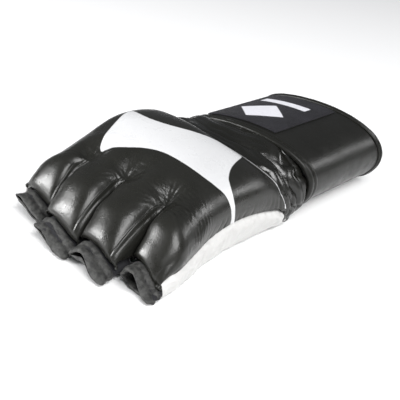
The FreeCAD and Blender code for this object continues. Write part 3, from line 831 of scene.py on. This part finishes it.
def outer_outline(grow):
    """The strap's outer layer as (x, z), from under the thumb side over the top to the tab's end."""
    outline, place = strap_outline(grow, 400)
    return outline[(place > 1.0) & (place < 12.2)]


def strap_edge(name, start, inwards, nodes):
    """The stitched tape along one edge of the outer layer; inwards is its direction and width."""
    rings = []
    for place, proud in EDGE_PROFILE:
        x, z = outer_outline(proud).T
        rings.append(xyz(x, lean(start + inwards * place, z), z))
    points = np.stack(rings + [rings[0]], axis=1)
    points += normals_of(points) * (0.12 * grain(points, 6, 44))[..., None]
    points[:, -1] = points[:, 0]
    edge = grid_object(name, points, flip=inwards > 0)
    bake(edge, WELD=JOINED)
    row = points[:, 6]
    edge = add_stitches(edge, row, row - (0, 30, 20), pitch=3.4, length=2.2)
    finish(edge, TAB_BLEND, "edge_binding", nodes, "strap_leather")


def closure():
    """The strap's outer layer, whose end is the tab, and its two edges."""
    points = across_strap(outer_outline(0.0), STRAP_FRONT + 5, EDGE_BACK - 5, 60)
    points += normals_of(points) * (0.35 * grain(points, 30, 43))[..., None]
    band = grid_object("strap_outer", points, flip=True)
    thicken(band, 1.8)
    finish(band, TAB_BLEND, "strap_leather", ("strap_tab",))
    strap_edge("strap_front_edge", STRAP_FRONT, 1.0, ("tab_binding", "strap_front_binding"))
    strap_edge("strap_rear_edge", EDGE_BACK, -0.5, ("strap_rear_binding",))


def top_outline(grow, lowest, far, near):
    """The strap's outline above a height, between two places across the hand."""
    outline, _ = strap_outline(grow, 600)
    x, z = outline.T
    return outline[(z > lowest) & (x > far) & (x < near)]


def label():
    """The textured patch on the tab, with a plain bar and lozenge woven in."""
    points = across_strap(top_outline(1.0, 38, -37, 16.5), STRAP_FRONT + 12.5, EDGE_BACK - 7.5, 80)
    patch = grid_object("label", points, flip=True)
    across = np.linspace(0, 1, points.shape[0])[:, None]
    along = np.linspace(0, 1, points.shape[1])[None, :]
    bar = np.minimum(0.32 - np.abs(across - 0.52), 0.055 - np.abs(along - 0.74))
    lozenge = 0.2 - 0.2 * (np.abs(across - 0.52) / 0.30 + np.abs(along - 0.36) / 0.24)
    add_field(patch, "mark", np.maximum(bar, lozenge))
    thicken(patch, 0.9)
    finish(patch, "closure_tab", "label", ("label_patch",))


def strap_patch(name, node, grow, body, slot):
    """A rectangle of hook or loop tape between the strap's ring and its tab."""
    low, high = node_box(node)
    outline = top_outline(grow, 30, low[0], high[0])
    patch = grid_object(name, across_strap(outline, STRAP_FRONT + 13, EDGE_BACK - 9, 60), flip=True)
    thicken(patch, 0.5)
    finish(patch, body, slot, (node,))


# The gaiter's front ring, where it leaves the hand, as (x, z), and how far forward its top begins.
GAITER_RING = (
    (47, 12), (45, 20), (40, 30), (26, 38), (-2, 42), (-30, 41), (-46, 35), (-51, 24), (-48, 8),
    (-30, 3), (0, 3), (30, 3), (44, 5),
)
GAITER_TOP = ((-55, 2), (-30, -6), (0, -12), (26, -10), (40, -2), (50, 6))
GAITER_ROWS, GAITER_COLUMNS = 220, 90
GAITER_CENTRE = 20


def ring_angle(outline):
    """The angle of each (x, z) point round the wrist's middle."""
    return np.mod(np.arctan2(outline[:, 1] - GAITER_CENTRE, outline[:, 0]), 2 * math.pi)


def gaiter_rings():
    """The gaiter's front and rear outlines as (x, z), with the same angle in each row."""
    rear, _ = strap_outline(-2.0, GAITER_ROWS)
    rear = rear[np.argsort(ring_angle(rear))]
    keys = np.array(GAITER_RING + GAITER_RING[:1], float)
    places = np.linspace(0, len(GAITER_RING), GAITER_ROWS, endpoint=False)
    front = track(list(enumerate(keys)), places)
    angle = ring_angle(front)
    order = np.argsort(angle)
    front = np.stack([np.interp(ring_angle(rear), angle[order], front[order][:, k], period=2 * math.pi)
                      for k in (0, 1)], axis=-1)
    return front, rear


def gaiter_folds(points, v):
    """How far the soft leather stands out, in two or three big folds with smaller ones on them."""
    phase = v[None, :] * 2.6 * math.pi + 1.5 * grain(points * (1, 0.35, 1), 34, 51)
    puff = np.abs(np.sin(phase)) ** 0.7
    crumple = np.abs(np.sin(2.3 * phase + 2.6 * grain(points, 15, 52)))
    low_corner = ease(30, 44, points[..., 0]) * (1 - ease(18, 32, points[..., 2]))
    fold = (2.6 * puff - 1.7) + (0.9 + 1.2 * low_corner) * (crumple - 0.6)
    envelope = np.sin(math.pi * np.clip(v, 0, 1)) ** 0.6
    return fold * envelope[None, :] + 0.7 * grain(points, 9, 53) * envelope[None, :]


def gaiter():
    """The soft leather that bunches between the pad and the strap."""
    front, rear = gaiter_rings()
    v = np.linspace(0, 1, GAITER_COLUMNS)
    y_start = np.where(front[:, 1] > 15, track(GAITER_TOP, front[:, 0]), 8.0)
    y_end = lean(STRAP_FRONT + 10, rear[:, 1])
    mix = ease(0.1, 1.0, v)[None, :, None]
    plan = front[:, None] * (1 - mix) + rear[:, None] * mix
    y = y_start[:, None] * (1 - v) + y_end[:, None] * v
    points = xyz(plan[..., 0], y, plan[..., 1])
    out = unit((points - (0, 0, GAITER_CENTRE)) * (1, 0, 1))
    points = points + out * gaiter_folds(points, v)[..., None]
    points[..., 2] = np.maximum(points[..., 2], 0.6)
    piece = grid_object("gaiter", points, closed=True)
    ends = [0, 1, 2, GAITER_COLUMNS - 3, GAITER_COLUMNS - 2, GAITER_COLUMNS - 1]
    held = np.arange(GAITER_ROWS)[:, None] * GAITER_COLUMNS + np.array(ends)
    buckle(piece, held.ravel(), FOLD_GROWTH)
    thicken(piece, 1.0)
    finish(piece, "hand", "soft_leather", ("throat_gaiter",))


# ---- materials
class Nodes:
    """A material's node tree with short calls for adding and linking nodes."""

    def __init__(self, name):
        """A new material with one plain shader."""
        self.material = bpy.data.materials.new(name)
        self.material.use_nodes = True
        self.tree = self.material.node_tree
        self.shader = self.tree.nodes["Principled BSDF"]

    def add(self, kind, inputs=None, **settings):
        """A new node with its settings, its inputs being values or other nodes' outputs."""
        node = self.tree.nodes.new(kind)
        for key, value in settings.items():
            setattr(node, key, value)
        for key, value in (inputs or {}).items():
            self.plug(node.inputs[key], value)
        return node

    def plug(self, socket, value):
        """Link a socket to another node's output, or set its own value."""
        if isinstance(value, bpy.types.NodeSocket):
            self.tree.links.new(value, socket)
        else:
            socket.default_value = value

    def rest(self):
        """The point's place at rest, in metres, which stays on the leather as it bends."""
        return self.add("ShaderNodeAttribute", attribute_name="rest").outputs["Vector"]

    def field(self, name):
        """A number stored on the mesh by add_field."""
        return self.add("ShaderNodeAttribute", attribute_name=name).outputs["Fac"]

    def maths(self, operation, a, b):
        """One sum on two values."""
        return self.add("ShaderNodeMath", {0: a, 1: b}, operation=operation).outputs[0]

    def noise(self, scale, detail=3.0, rough=0.5, stretch=None):
        """Cloudy noise from 0 to 1, optionally stretched along the axes."""
        vector = self.rest()
        if stretch:
            node = self.add("ShaderNodeVectorMath", {0: vector, 1: stretch}, operation="MULTIPLY")
            vector = node.outputs[0]
        node = self.add("ShaderNodeTexNoise", {"Vector": vector, "Scale": scale, "Detail": detail,
                                               "Roughness": rough})
        return node.outputs["Fac"]

    def cells(self, scale):
        """Distance to the edges of small irregular cells."""
        node = self.add("ShaderNodeTexVoronoi", {"Vector": self.rest(), "Scale": scale},
                        feature="DISTANCE_TO_EDGE")
        return node.outputs["Distance"]

    def ramp(self, value, low, high, start=0.0, end=1.0):
        """A smooth step from start to end as the value goes from low to high."""
        node = self.add("ShaderNodeMapRange", {"Value": value, "From Min": low, "From Max": high,
                                               "To Min": start, "To Max": end},
                        interpolation_type="SMOOTHSTEP")
        return node.outputs[0]

    def mix(self, factor, a, b):
        """A colour between a and b."""
        node = self.add("ShaderNodeMix", data_type="RGBA")
        for index, value in ((0, factor), (6, a), (7, b)):
            self.plug(node.inputs[index], value)
        return node.outputs[2]

    def bump(self, height, distance, strength=1.0, under=None):
        """A normal with relief, distance being in metres, on top of another normal."""
        inputs = {"Height": height, "Distance": distance, "Strength": strength}
        if under is not None:
            inputs["Normal"] = under
        return self.add("ShaderNodeBump", inputs).outputs["Normal"]

    def set(self, **inputs):
        """Set or link the shader's own inputs."""
        for key, value in inputs.items():
            self.plug(self.shader.inputs[key.replace("_", " ")], value)


def leather_relief(n, crease):
    """The relief of finished leather: fine pebbles, hair creases and a soft unevenness."""
    pebble = n.bump(n.ramp(n.cells(900), 0.0, 0.35), 0.00004, 0.5)
    hair = n.bump(n.ramp(n.cells(210), 0.0, 0.07), 0.00003, crease, pebble)
    return n.bump(n.ramp(n.noise(330, 3, 0.6), 0.3, 0.7), 0.000016, crease, hair)


def leather(name, dark, light, rough, shine=0.5, crease=0.5):
    """Plain leather with cloudy colour and a slightly uneven polish."""
    n = Nodes(name)
    relief = n.bump(n.noise(2600, 2, 0.5), 0.00002, 0.5, leather_relief(n, crease))
    n.set(Base_Color=n.mix(n.noise(38, 4, 0.6), dark, light),
          Roughness=n.ramp(n.noise(120, 4, 0.6), 0.25, 0.75, rough - 0.07, rough + 0.09),
          Specular_IOR_Level=shine, Normal=relief)
    return n.material


def printed_leather():
    """Black leather with the white panel printed on it, and fine wrinkles where it is crumpled."""
    n = Nodes("printed_leather")
    inside = n.ramp(n.field("print"), -0.25, 0.25)
    cloud = n.noise(38, 4, 0.6)
    black = n.mix(cloud, (0.010, 0.010, 0.0085, 1), (0.017, 0.017, 0.0145, 1))
    white = n.mix(cloud, (0.60, 0.603, 0.61, 1), (0.65, 0.653, 0.66, 1))
    printed = n.bump(inside, 0.00008, 0.6, leather_relief(n, 0.5))
    wrinkle = n.maths("MULTIPLY", n.noise(240, 3, 0.5, stretch=(0.4, 1.5, 0.8)), n.field("crumple"))
    n.set(Base_Color=n.mix(inside, black, white),
          Roughness=n.ramp(n.noise(120, 4, 0.6), 0.25, 0.75, 0.24, 0.37),
          Specular_IOR_Level=0.42, Normal=n.bump(wrinkle, 0.0012, 0.8, printed))
    return n.material


THREADS = {"Scale": 525, "Distortion": 1.5, "Detail": 1.0}
MARK_WHITE = (0.7, 0.7, 0.74, 1)


def cloth(name, dark, light, rough, blotch=90, mark=None, shine=0.3):
    """Woven tape or lining, with a white woven mark where the named field is positive."""
    n = Nodes(name)
    warp, weft = (n.add("ShaderNodeTexWave", {"Vector": n.rest(), **THREADS},
                        bands_direction=axis).outputs["Fac"] for axis in "XY")
    weave = n.bump(n.maths("MAXIMUM", warp, weft), 0.00015, 0.6)
    colour = n.mix(n.ramp(n.noise(blotch, 5, 0.7), 0.25, 0.75), dark, light)
    if mark:
        colour = n.mix(n.ramp(n.field(mark), -0.006, 0.006), colour, MARK_WHITE)
    n.set(Base_Color=colour, Roughness=rough, Specular_IOR_Level=shine,
          Normal=n.bump(n.noise(350, 3, 0.65), 0.0006, 0.8, weave), Sheen_Weight=0.03)
    return n.material


MATERIALS = {
    "printed_leather": printed_leather(),
    "soft_leather": leather("soft_leather", (0.006, 0.006, 0.005, 1), (0.011, 0.011, 0.009, 1),
                            0.27, 0.6),
    "strap_leather": leather("strap_leather", (0.008, 0.008, 0.0068, 1), (0.014, 0.014, 0.012, 1),
                             0.34, 0.26, 0.3),
    "white_leather": leather("white_leather", (0.51, 0.505, 0.495, 1), (0.60, 0.595, 0.585, 1), 0.42),
    "binding": cloth("binding", (0.006, 0.006, 0.006, 1), (0.062, 0.062, 0.059, 1), 0.5, blotch=380),
    "lining": cloth("lining", (0.012, 0.012, 0.014, 1), (0.022, 0.022, 0.025, 1), 0.85),
    "loop_tape": cloth("loop_tape", (0.010, 0.010, 0.011, 1), (0.030, 0.030, 0.033, 1), 0.9,
                       blotch=600),
    "hook_tape": cloth("hook_tape", (0.006, 0.006, 0.007, 1), (0.024, 0.024, 0.026, 1), 0.45,
                       blotch=900),
    "label": cloth("label", (0.0105, 0.0103, 0.0125, 1), (0.019, 0.0185, 0.023, 1), 0.62,
                   mark="mark", shine=0.15),
}


# ---- floor, lights and camera
def area_light(name, place, target, size, power):
    """A soft rectangular light at a place, turned to a target."""
    data = bpy.data.lights.new(name, "AREA")
    data.shape = "RECTANGLE"
    data.size, data.size_y = size
    data.energy = power
    light = bpy.data.objects.new(name, data)
    light.location = place
    light.rotation_euler = (Vector(target) - Vector(place)).to_track_quat("-Z", "Y").to_euler()
    bpy.context.scene.collection.objects.link(light)


FLOOR = 4000
CAMERA_PLACE = Vector((0.27115, -0.42399, 0.23718))
CAMERA_RIGHT = Vector((0.77496, 0.60752, 0.17425))
CAMERA_UP = Vector((-0.38987, 0.24251, 0.88836))
LENS, SENSOR = 81, 36


def studio():
    """A pale floor and soft lights."""
    floor = mesh_object("floor", [(-FLOOR, -FLOOR, 0), (FLOOR, -FLOOR, 0), (FLOOR, FLOOR, 0),
                                  (-FLOOR, FLOOR, 0)], [(0, 1, 2, 3)])
    n = Nodes("floor")
    n.set(Base_Color=(0.97, 0.97, 0.97, 1), Roughness=0.9)
    floor.data.materials.append(n.material)
    world = bpy.data.worlds.new("studio")
    world.use_nodes = True
    background = world.node_tree.nodes["Background"]
    background.inputs["Color"].default_value = (0.9, 0.93, 1.0, 1)
    background.inputs["Strength"].default_value = 0.14
    bpy.context.scene.world = world
    area_light("key", (-0.88, -0.88, 0.36), (0, -0.06, 0.02), (0.42, 0.34), 19)
    area_light("fill", (1.0, -0.6, 1.25), (0, 0, 0), (1.1, 1.1), 41)
    area_light("back", (0.77, 1.33, 0.72), (0, 0, 0.03), (0.6, 0.4), 5.2)
    bpy.context.scene.view_settings.view_transform = "Standard"


def viewpoint():
    """The camera, above the index finger's side and looking over the knuckles to the wrist."""
    data = bpy.data.cameras.new("camera")
    data.sensor_width = SENSOR
    data.lens = LENS
    data.clip_end = 20
    camera = bpy.data.objects.new("camera", data)
    turn = Matrix((CAMERA_RIGHT, CAMERA_UP, CAMERA_RIGHT.cross(CAMERA_UP))).transposed().to_4x4()
    camera.matrix_world = Matrix.Translation(CAMERA_PLACE) @ turn
    bpy.context.scene.collection.objects.link(camera)
    bpy.context.scene.camera = camera


# ---- build
back_cover()
for finger in FINGERS:
    finger_pad(finger)
    finger_loop(finger)
    finger_edge(finger)
side_panel("thumb_side", 1)
side_panel("pinky_side", -1)
palm()
thumb_edge()
back_lining()
strap()
closure()
strap_patch("loop_tape", "loop_patch", -2.4, "hand", "loop_tape")
strap_patch("hook_tape", "hook_patch", -1.75, "closure_tab", "hook_tape")
label()
gaiter()
studio()
viewpoint()
